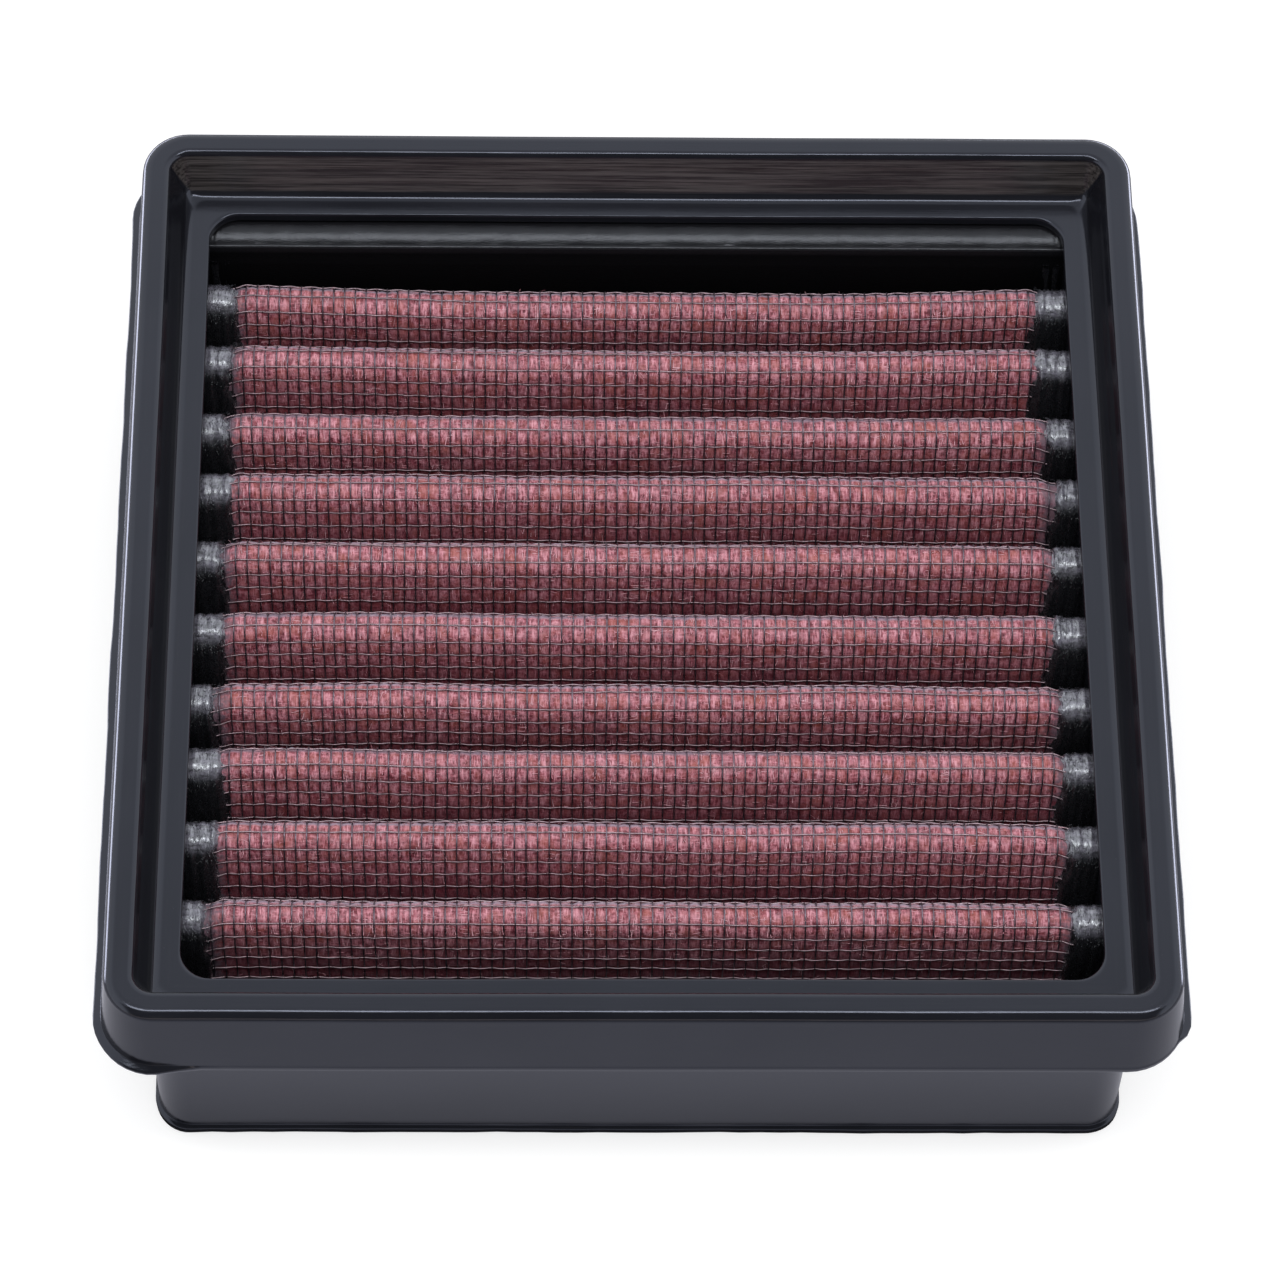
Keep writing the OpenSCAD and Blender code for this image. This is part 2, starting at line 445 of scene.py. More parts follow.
def frame_material():
    """Satin moulded rubber: fine drag lines, a little dust, and pale streaks of painted light on the
    rear wall of the well.
    """
    nodes = new_material("frame_rubber")
    position = nodes.geometry("Position")
    x, y, height = nodes.split(position)
    across_x = nodes.math("ABSOLUTE", x)
    across_y = nodes.math("ABSOLUTE", y)
    drag_lines = nodes.noise(drag_space(nodes, across_x, across_y, height), 4, 4.0, 0.65)
    broad = nodes.noise(position, 0.06, 3.0)
    dust = nodes.noise(position, 3, 2.0, 0.7)
    rear_wall = well_mask(nodes, y, across_x, height)
    side_walls = well_mask(nodes, across_x, across_y, height)
    dark, light = (0.0060, 0.0062, 0.0085), (0.0082, 0.0085, 0.0115)
    colour = nodes.mix(nodes.remap(broad, 0.35, 0.65), dark, light)
    colour = nodes.mix(nodes.remap(drag_lines, 0.60, 0.75, 0, 0.6), colour, (0.018, 0.017, 0.018))
    colour = nodes.mix(nodes.remap(dust, 0.72, 0.80, 0, 0.5), colour, (0.05, 0.05, 0.05))
    fine_gloss = nodes.remap(drag_lines, 0.3, 0.7, 0.11, 0.18)
    broad_gloss = nodes.remap(broad, 0.35, 0.65, -0.02, 0.02)
    nodes.shade(
        # Painted light: pale streaks that make the well's rear wall lighter than its side walls
        Base_Color=nodes.mix(rear_wall, colour, lit_streaked_rubber(nodes, position)),
        Roughness=nodes.math("ADD", fine_gloss, broad_gloss),
        IOR=1.53,
        Specular_Tint=(0.76, 0.82, 1.0),
        Specular_IOR_Level=nodes.remap(side_walls, 0, 1, 0.5, 0.06),
        Normal=nodes.bump(dust, 0.06, 0.02, nodes.bump(drag_lines, 0.22, 0.03)),
    )
    return nodes.owner


def seal_material():
    """Cast black rubber, rough with the threads it has soaked, and a painted grey highlight on the
    crests.
    """
    nodes = new_material("seal_rubber")
    position = nodes.geometry("Position")
    clots = nodes.noise(position, 1.8, 4.0, 0.6)
    threads = nodes.noise(nodes.scaled(position, (1.0, 0.18, 0.18)), 3.2, 3.0, 0.7)
    crusts = nodes.noise(nodes.scaled(position, (1.0, 0.5, 0.5)), 4.0, 2.0, 0.7)
    streaks = nodes.noise(nodes.scaled(position, (0.3, 1.0, 1.0)), 2.8, 3.0, 0.7)
    # Painted highlight: a pale grey over the tops of the crests, where they catch the light
    near_top = nodes.remap_mm(nodes.split(position)[2], pack_top - 1.5, pack_top - 0.7)
    painted_light = nodes.product(near_top, nodes.remap(streaks, 0.36, 0.64, 0.15, 1))
    colour = nodes.mix(threads, (0.004, 0.004, 0.005), (0.014, 0.014, 0.017))
    nodes.shade(
        Base_Color=nodes.mix(painted_light, colour, (0.15, 0.143, 0.18)),
        Roughness=nodes.remap(crusts, 0.35, 0.65, 0.18, 0.40),
        IOR=1.9,
        Specular_IOR_Level=nodes.remap(threads, 0.40, 0.62, 0.5, 1.0),
        Specular_Tint=(0.90, 0.95, 1.0),
        Normal=nodes.bump(threads, 0.5, 0.10, nodes.bump(clots, 0.25, 0.15)),
    )
    return nodes.owner


def bead_material():
    """The same rubber where it was cast in the open: smoother, with fine ribs across the bead, and
    painted shade below it.
    """
    nodes = new_material("bead_rubber")
    position = nodes.geometry("Position")
    ribs = nodes.noise(nodes.scaled(position, (1.0, 0.1, 0.1)), 2.2, 2.0, 0.6)
    specks = nodes.noise(position, 5, 2.0, 0.7)
    # Painted shade: below the bead the rubber is made darker and less glossy, standing in for the shade
    # under the bead
    shade_below_bead = nodes.remap_mm(nodes.split(position)[2], cavity_top - 2.0, cavity_top - 2.4)
    colour = nodes.mix(specks, (0.004, 0.004, 0.005), (0.012, 0.012, 0.014))
    nodes.shade(
        Base_Color=nodes.mix(shade_below_bead, colour, (0.003, 0.003, 0.0035)),
        Roughness=nodes.remap(specks, 0.3, 0.7, 0.14, 0.25),
        IOR=1.5,
        Specular_IOR_Level=nodes.remap(shade_below_bead, 0, 1, 0.45, 0.08),
        Specular_Tint=(0.86, 0.91, 1.0),
        Normal=nodes.bump(specks, 0.5, 0.06, nodes.bump(ribs, 0.45, 0.12)),
    )
    return nodes.owner


def wire_material(name, albedo):
    """Dull coated wire, darker and lighter along its length."""
    nodes = new_material(name)
    coat = nodes.noise(nodes.geometry("Position"), 1.5, 2.0)
    dark, bright = (tuple(share * channel for channel in albedo) for share in (0.7, 1.3))
    nodes.shade(
        Base_Color=nodes.mix(nodes.remap(coat, 0.35, 0.7), dark, bright),
        Metallic=0.9,
        Roughness=nodes.remap(coat, 0.3, 0.7, 0.26, 0.42),
        Normal=nodes.bump(coat, 0.15, 0.03),
    )
    return nodes.owner


def cotton_colour(nodes, threads_down, threads_across, both_threads, tufts, oil):
    """Colour of the oiled cotton before its painted valley shade, ridge sheen and soaking: pale threads,
    and painted shade on the cloth beside the wires.
    """
    deep, mid = (0.10, 0.014, 0.024), (0.37, 0.089, 0.119)
    pale, amber = (0.74, 0.38, 0.445), (0.34, 0.085, 0.055)
    puff = nodes.add("ShaderNodeAttribute", attribute_name="puff").outputs["Fac"]
    colour = nodes.mix(nodes.remap(both_threads, 0.64, 0.88), deep, mid)
    colour = nodes.mix(nodes.remap(threads_down, 0.50, 0.68, 0, 0.80), colour, pale)
    colour = nodes.mix(nodes.remap(tufts, 0.42, 0.66, 0, 0.40), colour, pale)
    colour = nodes.mix(nodes.remap(threads_across, 0.54, 0.70, 0, 0.45), colour, pale)
    colour = nodes.mix(nodes.remap(oil, 0.45, 0.70, 0, 0.6), colour, amber)
    # Painted shade: the cloth is darkened where it lies back at the wires, between the bulges into the
    # meshes
    return nodes.mix(nodes.remap(puff, 0.0, 0.4, 0.4, 0), colour, deep)


def shade_sheen_and_soak(nodes, colour, position, tufts):
    """Adds painted shade towards the valleys, a painted grey sheen behind the crests, and near black by
    the end seals.
    """
    x, _, height = nodes.split(position)
    # Painted shade: the cloth darkens down the flanks towards the valleys
    painted_valley_shade = nodes.remap_mm(height, pack_top - 2.5, pack_top - 10, 0, 0.78)
    # Painted sheen: a lavender grey on the crests' rear sides near the top, where they look lit from
    # behind
    rearward = nodes.split(nodes.geometry("Normal"))[1]
    near_top = nodes.remap_mm(height, pack_top - 2.4, pack_top - 1.4)
    painted_ridge_sheen = nodes.product(near_top, nodes.remap(rearward, 0.38, 0.62, 0, 0.85))
    ragged = nodes.remap(tufts, 0.35, 0.65, -0.8 * MM, 0.8 * MM)
    creep = nodes.math("ADD", nodes.math("ABSOLUTE", x), ragged)
    soaked = nodes.remap_mm(creep, band_start - 1.4, band_start + 0.2, 0, 0.85)
    colour = nodes.mix(painted_valley_shade, colour, (0.11, 0.014, 0.026))
    colour = nodes.mix(painted_ridge_sheen, colour, (0.38, 0.30, 0.38))
    return nodes.mix(soaked, colour, (0.10, 0.075, 0.10))


def gauze_material():
    """Oiled cotton: soft threads both ways, tufts, blotches of oil, painted shade and sheen, and near
    black by the end seals.
    """
    nodes = new_material("oiled_gauze")
    position = nodes.geometry("Position")
    threads_down = nodes.noise(nodes.scaled(position, (1.0, 0.16, 0.16)), 3.4, 3.0, 0.7)
    threads_across = nodes.noise(nodes.scaled(position, (0.25, 1.0, 1.0)), 3.0, 3.0, 0.65)
    both_threads = nodes.math("ADD", threads_down, nodes.math("MULTIPLY", threads_across, 0.6))
    oil = nodes.noise(position, 0.3, 3.0, 0.6)
    tufts = nodes.noise(position, 1.1, 3.0, 0.7)
    colour = cotton_colour(nodes, threads_down, threads_across, both_threads, tufts, oil)
    nodes.shade(
        Base_Color=shade_sheen_and_soak(nodes, colour, position, tufts),
        Roughness=0.55,
        Specular_IOR_Level=0.4,
        Sheen_Weight=0.45,
        Sheen_Roughness=0.25,
        Sheen_Tint=(0.74, 0.82, 1.0),
        Normal=nodes.bump(both_threads, 0.7, 0.15, nodes.bump(tufts, 0.5, 0.2)),
    )
    return nodes.owner


def lint_material():
    """Loose cotton fibres, paler than the cloth they lie on."""
    nodes = new_material("cotton_lint")
    tone = nodes.noise(nodes.geometry("Position"), 0.8, 2.0)
    nodes.shade(
        Base_Color=nodes.mix(nodes.remap(tone, 0.35, 0.65), (0.46, 0.14, 0.18), (0.75, 0.43, 0.49)),
        Roughness=0.6,
        Sheen_Weight=0.3,
        Normal=nodes.bump(tone, 0.1, 0.01),
    )
    return nodes.owner


# ---------------------------------------------------------------- the moulded frame

WALL_STEP = 1.6
WELL_STEP = 0.3
SIDE_STEPS = 44
CORNER_STEPS = 10

# Corners of the frame's cut face, going round it from the rim's inner edge:
# (half width, height, radius of the plan's corner, rounding of this edge, spacing along the next run)
frame_section = (
    (rim_half - RIM_W, top_z, RIM_CORNER_R - RIM_W, 0.8, 0.6),
    (rim_half, top_z, RIM_CORNER_R, 1.3, WALL_STEP),
    (collar_foot_half, flange_z + FLANGE_T, RIM_CORNER_R + COLLAR_DRAFT, 0.15, 0.3),
    (flange_half, flange_z + 0.7, RIM_CORNER_R + FLANGE_OUT, 0.3, 0.3),
    (flange_half - 0.1, flange_z, RIM_CORNER_R + FLANGE_OUT - 0.1, 0.35, WALL_STEP),
    (skirt_half, flange_z, SKIRT_CORNER_R, 0.5, WALL_STEP),
    (skirt_half, foot_z + 1.9, SKIRT_CORNER_R, 0.3, 0.2),
    (skirt_half + 0.45, foot_z + 1.55, SKIRT_CORNER_R + 0.4, 0.3, 0.3),
    (skirt_half + 0.35, foot_z, SKIRT_CORNER_R + 0.3, 0.6, 0.6),
    (skirt_half - SKIRT_T + 0.2, foot_z, 1.7, 0.5, WALL_STEP),
    (skirt_half - SKIRT_T, cavity_floor - RIB_T, 1.4, 0.4, 0.6),
    (lower_opening_half, cavity_floor - RIB_T, OPENING_R, 0.4, 0.4),
    (lower_opening_half, cavity_floor, OPENING_R, 0.2, 0.5),
    (cavity_half, cavity_floor, 0.8, 0.1, 4.0),
    (cavity_half, cavity_top, 0.8, 0.1, 0.5),
    (opening_half, cavity_top, OPENING_R, 0.2, 0.4),
    (opening_half, ledge_z, OPENING_R, 0.3, 0.6),
    (well_foot_half, ledge_z, 0.8, 1.3, WELL_STEP),
)
# A ring this close to each rounded edge keeps the shading of the flat run beside it flat
HOLD = 0.12

# The flange's thin edge is whole to the left of this x and to the rear of this y
FLASH_RIGHT_END = -52
FLASH_FRONT_END = -62.3
LEAST_FLASH = 0.08

# Depths of the mould's marks
SLOW_WAVE = 0.02
DRAG_DEPTH = 0.016
LIP_WAVE = 0.035


def rounded_corner(before, corner, after, steps=5):
    """Points (half width, height, corner radius) around one edge of the cut face."""
    here = np.array(corner[:3], float)
    rounding = corner[3]
    legs = [np.array(end[:3], float) - here for end in (before, after)]
    lengths = [np.hypot(leg[0], leg[1]) for leg in legs]
    first, last = (leg / length for leg, length in zip(legs, lengths))
    half_angle = math.acos(np.clip(np.dot(first[:2], last[:2]), -1, 1)) / 2
    setback = min(rounding / math.tan(half_angle), 0.45 * min(lengths))
    start, end = here + first * setback, here + last * setback
    radius = setback * math.tan(half_angle)
    bisector = (first[:2] + last[:2]) / np.linalg.norm(first[:2] + last[:2])
    centre = here[:2] + bisector * radius / math.sin(half_angle)
    points = []
    for step in range(steps + 1):
        chord = start + (end - start) * step / steps
        spoke = chord[:2] - centre
        spoke *= radius / np.linalg.norm(spoke)
        points.append((*(centre + spoke), chord[2]))
    return points


def section_rings():
    """All rings of the frame's cut face: rounded edges, with evenly spaced rings between them."""
    count = len(frame_section)
    edges = [
        rounded_corner(frame_section[i - 1], frame_section[i], frame_section[(i + 1) % count])
        for i in range(count)
    ]
    rings = []
    for i, edge in enumerate(edges):
        rings.extend(edge)
        start = np.array(edge[-1])
        end = np.array(edges[(i + 1) % count][0])
        length = np.hypot(*(end - start)[:2])
        steps = max(1, round(length / frame_section[i][4]))
        shares = [step / steps for step in range(1, steps)]
        if length > 4 * HOLD:
            shares = sorted(set(shares + [HOLD / length, 1 - HOLD / length]))
        rings.extend(tuple(start + (end - start) * share) for share in shares)
    return np.array(rings)


def plan_directions():
    """For each point around a rounded square: its corner centre's signs and its outward direction."""
    centres, outward = [], []
    for quarter in range(4):
        start = math.pi / 2 * quarter
        signs = np.sign([math.cos(start + math.pi / 4), math.sin(start + math.pi / 4)])
        for step in range(CORNER_STEPS):
            angle = start + math.pi / 2 * step / CORNER_STEPS
            centres.append(signs)
            outward.append((math.cos(angle), math.sin(angle)))
        end = start + math.pi / 2
        next_signs = np.sign([math.cos(end + math.pi / 4), math.sin(end + math.pi / 4)])
        for step in range(SIDE_STEPS):
            centres.append(signs + (next_signs - signs) * step / SIDE_STEPS)
            outward.append((math.cos(end), math.sin(end)))
    return np.array(centres), np.array(outward)


def flash_left(x, y):
    """Share of the flange's thin edge that is left: it is trimmed off along the front and at right."""
    left_part = smoothstep((FLASH_RIGHT_END - x) / 8)
    rear_part = smoothstep((y - FLASH_FRONT_END) / 2.5)
    return np.clip(np.maximum(left_part, rear_part), LEAST_FLASH, 1)


def flange_trim(half, x, y):
    """How far the flange's thin edge, which stands past the collar's foot, is cut back or ragged."""
    ragged = 0.05 * Waves(3, 6, 40, 9, 2)(x, y)
    past_foot = np.clip(half - collar_foot_half, 0, None)
    return past_foot * (flash_left(x, y) * (1 + ragged) - 1)


def drag_marks(half, height, x, y, z):
    """Fine lines round the well's wall, where the mould dragged on it."""
    on_well = (half > well_foot_half) & (half < rim_half - RIM_W) & (height > ledge_z + 0.5)
    rng = np.random.default_rng(8)
    drag = np.where(on_well, rng.normal(0, DRAG_DEPTH, half.shape), 0)
    return drag * (1 + 0.4 * Waves(9, 8, 60, 9, 3)(x, y, z * 9))


def build_frame(material):
    rings = section_rings()
    centres, outward = plan_directions()
    half, height, radius = (rings[:, i, None] for i in range(3))
    inner = half - radius
    x = centres[None, :, 0] * inner + outward[None, :, 0] * radius
    y = centres[None, :, 1] * inner + outward[None, :, 1] * radius
    z = np.broadcast_to(height, x.shape)

    slow = SLOW_WAVE * Waves(5, 30, 110, 9, 3)(x, y, z)
    lip = smoothstep((foot_z + 2.0 - z) / 0.3) * (half > skirt_half)
    lip_wave = LIP_WAVE * lip * Waves(12, 4, 40, 11, 2)(x, y)
    offset = flange_trim(half, x, y) + slow + drag_marks(half, height, x, y, z) + lip_wave
    x = x + outward[None, :, 0] * offset
    y = y + outward[None, :, 1] * offset
    z = z + lip_wave * (z > foot_z + 0.7)

    points = np.stack([x, y, z], axis=-1)
    faces = grid_quads(*x.shape, wrap_rows=True, wrap_columns=True)
    add_piece("moulded_frame", points, faces, material, ["frame"])


# ---------------------------------------------------------------- layers of the pack

# Heights above the pack's middle
CLOTH_TOP = PACK_T / 2 - SCREEN_T
UPPER_SCREEN = PACK_T / 2 - SCREEN_T / 2

# How far an outermost ply lies back at the wires, bulges into the meshes, and is lumpy
BULGE_BED = 0.04
BULGE_H = 0.17
LUMP_H = 0.04

PLAIN_COLUMNS = 25
PLAIN_ROWS = 520


def mesh_bulge(track, x, fold):
    """How far the cloth bulges into the screen: 1 in the middle of a mesh, and 0 at its wires."""
    down = np.abs(np.sin(math.pi * track.at(fold) / WEFT_PITCH)) ** 0.7
    return np.sin(math.pi * x / WARP_PITCH) ** 2 * down


def ply_grid(outward, track):
    """x, fold and side (1 on top, -1 below) of a ply's points, closer together where it bulges."""
    plain_x = np.linspace(-pack_half, pack_half, PLAIN_COLUMNS)
    half_meshes = int(pack_half / WARP_PITCH * 2)
    fine_x = np.arange(-half_meshes, half_meshes + 1) * WARP_PITCH / 2
    top_x = fine_x if outward == 1 else plain_x
    bottom_x = fine_x if outward == -1 else plain_x
    folds = np.linspace(PACK_START, PACK_END, PLAIN_ROWS)
    if outward:
        folds = track.fold(np.arange(0, track.length, WEFT_PITCH / 4))
    x, fold = np.meshgrid(np.concatenate([top_x, bottom_x[::-1]]), folds)
    side = np.repeat([1, -1], [len(top_x), len(bottom_x)])
    return x, fold, np.broadcast_to(side, x.shape)


def build_ply(number, outward, lumps, material):
    """A closed, folded sheet. outward is 1 where the upper screen covers it, -1 the lower, or 0."""
    track = Track(outward * UPPER_SCREEN)
    x, fold, side = ply_grid(outward, track)
    high = CLOTH_TOP - number * LAYER_GAP - (number - 1) * PLY_T
    height = np.where(side == 1, high, high - PLY_T)
    puff = np.ones(x.shape)
    if outward:
        puff = mesh_bulge(track, x, fold)
        bulge = BULGE_H * np.sqrt(puff + 0.02) + LUMP_H * lumps(x, track.at(fold)) - BULGE_BED
        height = np.where(side == outward, height + outward * bulge, height)
    name = f"gauze_ply_{number}"
    points = place(x, fold, height)
    faces = tube_wall(*x.shape)
    add_piece(name + "_cloth", points, faces, material, [name], puff)


def build_gauze(material):
    """All plies. The outermost two bulge into the meshes of the screens that cover them."""
    lumps = Waves(21, 1.5, 9, 13, 2)
    build_ply(1, 1, lumps, material)
    for number in range(2, PLIES):
        build_ply(number, 0, lumps, material)
    build_ply(PLIES, -1, lumps, material)


def tubes(centre_lines, normals, radius, sides=4):
    """Points and faces of closed tubes. centre_lines and normals are (tubes, stations, 3)."""
    tangent = np.gradient(centre_lines, axis=1)
    tangent /= np.linalg.norm(tangent, axis=-1, keepdims=True)
    across = np.cross(tangent, normals)
    across /= np.linalg.norm(across, axis=-1, keepdims=True)
    upward = np.cross(across, tangent)
    angle = 2 * math.pi * (np.arange(sides) + 0.5) / sides
    ring = np.cos(angle)[:, None] * upward[..., None, :] + np.sin(angle)[:, None] * across[..., None, :]
    points = centre_lines[..., None, :] + radius * ring
    count, stations = centre_lines.shape[:2]
    one = tube_wall(stations, sides)
    size = stations * sides
    faces = [[corner + size * number for corner in face] for number in range(count) for face in one]
    return points.reshape(-1, 3), faces


def build_screen(name, height, warp_material, weft_material, seed):
    """A plain-woven screen. Odd and even wires of each direction are pieces of their own."""
    track = Track(height)
    warps = int(pack_half / WARP_PITCH - 0.5)
    wefts = int(track.length / WEFT_PITCH)
    warp_numbers = np.arange(-warps, warps + 1)
    weft_numbers = np.arange(wefts)
    warp_stations = np.arange(0, wefts - 1 + 1e-6, 1 / 3) * WEFT_PITCH
    weft_stations = np.arange(-warps, warps + 1e-6, 1 / 3) * WARP_PITCH
    weft_wander = Waves(seed, 12, 70, 9, 2)
    warp_wander = Waves(seed + 1, 15, 80, 9, 2)

    def add_wires(kind, x, along, rise, material):
        fold = track.fold(along)
        points, faces = tubes(place(x, fold, height + rise), surface_normals(fold), WIRE_RADIUS)
        add_piece(f"{name}_{kind}", points, faces, material, [name])

    for parity, label in enumerate(("even", "odd")):
        numbers = warp_numbers[warp_numbers % 2 == parity]
        number, along = np.meshgrid(numbers, warp_stations, indexing="ij")
        x = number * WARP_PITCH + WIRE_WANDER * warp_wander(number * 3.0, along)
        rise = WIRE_RADIUS * np.cos(math.pi * (along / WEFT_PITCH + number))
        add_wires("warp_" + label, x, along, rise, warp_material)

        numbers = weft_numbers[weft_numbers % 2 == parity]
        number, x = np.meshgrid(numbers, weft_stations, indexing="ij")
        along = number * WEFT_PITCH + WIRE_WANDER * weft_wander(x, number * 7.0)
        rise = -WEFT_CRIMP * WIRE_RADIUS * np.cos(math.pi * (x / WARP_PITCH + number))
        add_wires("weft_" + label, x, along, rise, weft_material)


# ---------------------------------------------------------------- seals around the pack

# Height of the seals' skin above the pack's middle
SEAL_TOP = PACK_T / 2 + SKIN_T
# Length along x over which an end seal rises from the cloth to its full height
SEAL_RAMP = 0.9
# How much further in the end seals start on the flanks than on the crests, at left and at right
FLANK_INSET = {-1: 0.4, 1: 0.75}

# How far the broad bead's top lies below the top of the cavity
BEAD_DROP = 0.5
BROAD_RADIUS = 4.4
RIDGE_RADIUS = 0.38

END_SEAL_ROWS_PER_FOLD = 36
END_SEAL_COLUMNS = 23
EDGE_SEAL_STATIONS = 900


def seal_border(fold, side):
    """Where the end seal starts along x: a little further in on the flanks than on the crests."""
    depth = 1 - (folded(fold, 0)[1] - valley_z) / (crest_z - valley_z)
    each_pleat = 0.35 * Waves(60 + side, 4, 12)(fold)
    uneven = 0.12 * Waves(64 + side, 0.1, 0.6)(fold)
    return band_start + 0.1 - FLANK_INSET[side] * smoothstep(depth * 2.5) + each_pleat + uneven


def build_end_seal(name, side, material):
    """Rubber comb that wraps one end of every pleat. side is 1 at right and -1 at left."""
    folds = np.arange(PACK_START, PACK_END, 1 / END_SEAL_ROWS_PER_FOLD)
    border = seal_border(folds, side)
    shares = np.linspace(0, 1, END_SEAL_COLUMNS) ** 1.3
    out = (cavity_half - border)[:, None] * shares[None, :]
    outer_x = border[:, None] + out
    fold = np.broadcast_to(folds[:, None], out.shape)
    ramp = CLOTH_TOP + (SEAL_TOP - CLOTH_TOP) * smoothstep(out / SEAL_RAMP)
    clots = 0.05 * Waves(70 + side, 0.5, 3.0, 28, 2)(outer_x, fold * 3) * smoothstep(out / 0.6)
    wires = 0.05 * np.cos(2 * math.pi * outer_x / WARP_PITCH)
    outer = ramp + clots + wires
    # The inner faces enclose the slot that the pack's end sits in
    slot_x = np.stack([border + 0.2, np.full(border.shape, pack_half)], axis=1)
    slot = np.full(slot_x.shape, CLOTH_TOP - 0.1)
    x = np.concatenate([outer_x, outer_x[:, ::-1], slot_x, slot_x[:, ::-1]], axis=1)
    height = np.concatenate([outer, -outer[:, ::-1], -slot, slot], axis=1)
    points = place(side * x, folds[:, None], height)
    add_piece(name + "_casting", points, tube_wall(*x.shape), material, [name])


def arc_line(centre, radius, angles):
    """Points of an arc in the (y, z) plane, with their outward directions; angles in degrees."""
    turn = np.radians(angles)
    outward = np.stack([np.cos(turn), np.sin(turn)], axis=1)
    return np.asarray(centre) + radius * outward, outward


def leg_line(start, end, count, height):
    """Points along the pack's rear leg, with their outward directions."""
    y, z, normal_y, normal_z = folded(np.linspace(start, end, count), height)
    return np.stack([y, z], axis=1), np.stack([normal_y, normal_z], axis=1)


def edge_seal_section(leg_top):
    """Cut face of an edge seal, as for the rear wall: broad bead, thin ridge, skin, floor and wall.

    Returns its points, their outward directions, and how strongly each is ribbed.
    """
    lower = np.array([0, leg_top - rear_leg_top])
    bead_centre = np.array([opening_half, cavity_top - BEAD_DROP - BROAD_RADIUS]) + lower
    # The last angles are close together, which keeps the groove beside the ridge crisp
    bead, bead_out = arc_line(bead_centre, BROAD_RADIUS, [*np.linspace(90, 126.4, 14), 126.7, 127])
    ridge_centre = bead[-1] + [-0.19, -0.32]
    ridge, ridge_out = arc_line(ridge_centre, RIDGE_RADIUS, [67, *np.linspace(72, 205, 11)])
    skin, skin_out = leg_line(-0.5, 0.25, 44, SEAL_TOP)
    below = skin[:, 1] < ridge[-1, 1] - 1.5
    skin, skin_out = skin[below], skin_out[below]
    underside, _ = leg_line(0.25, 0.1, 5, -SEAL_TOP)
    wall = np.array([
        (cavity_half, cavity_floor),
        (cavity_half, (cavity_floor + bead_centre[1]) / 2),
        (cavity_half, cavity_top - BEAD_DROP + lower[1]),
    ])
    plain = np.concatenate([underside, wall])
    points = np.concatenate([bead, ridge, skin, plain])
    outward = np.concatenate([bead_out, ridge_out, skin_out, 0 * plain])
    ribbed = np.repeat([1.0, 0.8, 0.5, 0.0], [len(bead), len(ridge), len(skin), len(plain)])
    return points, outward, ribbed


def build_edge_seal(name, side, leg_top, material):
    """Rubber wedge and bead along one edge of the pack. side is 1 at the rear and -1 at the front."""
    section, outward, ribbed = edge_seal_section(leg_top)
    x = np.linspace(-cavity_half, cavity_half, EDGE_SEAL_STATIONS)
    xs, numbers = np.meshgrid(x, np.arange(len(section)), indexing="ij")
    ribs = 0.010 * np.cos(4 * math.pi * x / WARP_PITCH) + 0.008 * Waves(85 + side, 0.5, 1.4, 9, 1)(x)
    lumps = 0.008 * Waves(80 + side, 2, 12, 20, 2)(xs, numbers * 0.25)
    push = (ribs[:, None] + lumps) * ribbed
    y = section[None, :, 0] + push * outward[None, :, 0]
    z = section[None, :, 1] + push * outward[None, :, 1]
    points = np.stack([xs, side * y, z], axis=-1)
    add_piece(name + "_casting", points, tube_wall(*xs.shape), material, [name])


# ---------------------------------------------------------------- loose fibres

def lay_fibres(name, roots, shapes, radius, material, seed, curl=0.25):
    """Thin curved fibres on the folded surface, as one piece.

    roots is x, fold and height. shapes is each fibre's length, its angle from the fold line in
    degrees, and how steeply it leaves the surface, as rise over run; fibres bend back towards it.
    """
    x, fold, height = roots
    length, lean, lift = shapes
    rng = np.random.default_rng(seed)
    root = place(x, fold, height)
    ahead = place(x, fold + 0.01, height) - root
    ahead /= np.linalg.norm(ahead, axis=-1, keepdims=True)
    normal = surface_normals(fold)
    sideways = np.cross(normal, ahead)
    angle = np.radians(lean)[:, None]
    run = np.sin(angle) * ahead + np.cos(angle) * sideways
    bend = rng.normal(0, curl, len(x))[:, None]
    lines = []
    for share in np.linspace(0, 1, 5):
        along = share * length[:, None]
        rise = lift[:, None] * along * (1.25 - 0.75 * share)
        aside = bend * along * share
        lines.append(root + run * along + np.cross(normal, run) * aside + normal * rise)
    lines = np.stack(lines, axis=1)
    normals = np.broadcast_to(normal[:, None, :], lines.shape)
    points, faces = tubes(lines, normals, radius, sides=3)
    add_piece(name, points, faces, material)


def on_pleats(rng, count, start, end):
    """Random fold numbers on the pleats, from start to end past the beginning of each crest."""
    return rng.integers(0, PLEATS, count) * 2 + 1 + rng.uniform(start, end, count)


